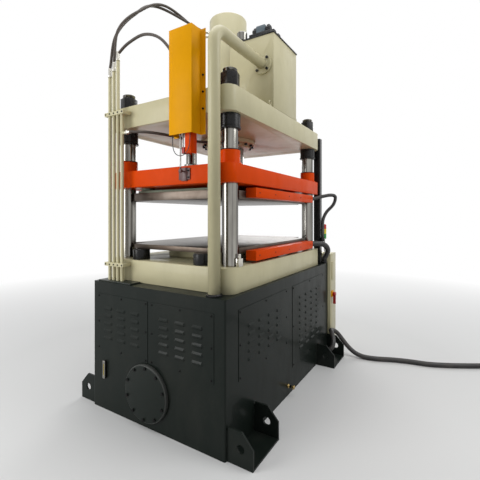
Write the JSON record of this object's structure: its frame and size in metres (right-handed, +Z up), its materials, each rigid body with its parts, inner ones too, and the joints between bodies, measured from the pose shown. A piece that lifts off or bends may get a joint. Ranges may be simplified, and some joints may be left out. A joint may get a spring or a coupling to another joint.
{
  "type": "hydraulic press",
  "caption": "Column-type hydraulic moulding press: louvred base, bed and crown joined by chromed columns, guided slide with heated platens, and a control cabinet.",
  "frame": {"origin": "centre of the base cabinet's footprint on the floor", "axes": "+Z up, -Y the operator's front with the manhole, +X the side with the wiring covers"},
  "size_m": [3.8443, 2.8929, 3.635],
  "materials": {
    "base_green": "gloss paint",
    "cream_paint": "semi-gloss paint",
    "orange_paint": "gloss paint",
    "yellow_paint": "satin paint",
    "black_oxide": "black oxide and satin black paint",
    "chrome": "hard chrome, ground",
    "machined_steel": "machined",
    "brass": "turned",
    "insulation_board": "matte board",
    "hose_rubber": "matte rubber",
    "aluminium": "anodised",
    "red_plastic": "gloss"
  },
  "bodies": {
    "frame": {"base_cabinet": "base_green", "panel_front_left": "base_green", "panel_front_right": "base_green", "panel_side_front": "base_green", "panel_side_rear": "base_green", "manhole_cover": "base_green", "level_gauge": "chrome", "drain_plug": "brass", "pump_motor": "black_oxide", "bed": "cream_paint", "crown": "cream_paint", "main_cylinder": "cream_paint", "lock_unit": "black_oxide", "oil_tank": "cream_paint", "valve_block": "black_oxide", "return_pipe": "cream_paint", "guard_cover": "yellow_paint", "sensor_channel": "orange_paint", "position_sensor": "aluminium", "riser_pipes": "cream_paint", "crown_hose": "hose_rubber", "arch_hose": "hose_rubber", "top_hose_1": "hose_rubber", "top_hose_2": "hose_rubber", "control_cabinet": "cream_paint", "main_switch": "yellow_paint", "signal_lamp": "machined_steel", "cable_trunk": "black_oxide", "bolster": "cream_paint", "lower_platen": "machined_steel", "lower_wiring_cover": "orange_paint", "lower_conduit": "hose_rubber", "floor_cable": "hose_rubber", "floor_cable_coil": "hose_rubber", "column_front_left": "chrome", "crown_nut_front_left": "black_oxide", "clamp_nut_front_left": "black_oxide", "platen_stool_front_left": "black_oxide", "column_front_right": "chrome", "crown_nut_front_right": "black_oxide", "clamp_nut_front_right": "black_oxide", "platen_stool_front_right": "black_oxide", "column_rear_left": "chrome", "crown_nut_rear_left": "black_oxide", "clamp_nut_rear_left": "black_oxide", "platen_stool_rear_left": "black_oxide", "column_rear_right": "chrome", "crown_nut_rear_right": "black_oxide", "clamp_nut_rear_right": "black_oxide", "platen_stool_rear_right": "black_oxide"},
    "slide_body": {"slide": "orange_paint", "ram": "chrome", "insulation_board": "insulation_board", "upper_platen": "machined_steel", "upper_wiring_cover": "orange_paint", "lock_rod": "chrome", "sensor_rod": "machined_steel", "upper_conduit": "hose_rubber"},
    "door": {"cabinet_door": "cream_paint"},
    "switch": {"switch_handle": "red_plastic"}
  },
  "joints": [
    {"name": "slide_travel", "type": "slide", "parent": "frame", "child": "slide_body", "axis": [0, 0, 1], "range_m": [-0.365, 0.15], "deforming": ["upper_conduit"]},
    {"name": "cabinet_door_swing", "type": "hinge", "parent": "frame", "child": "door", "pos_m": [-0.28, 1.3283, 0.6], "axis": [0, 0, 1], "range_deg": [0, 110]},
    {"name": "switch_handle_turn", "type": "hinge", "parent": "frame", "child": "switch", "pos_m": [0.72, 1.1553, 0.695], "axis": [1, 0, 0], "range_deg": [0, 90]}
  ]
}
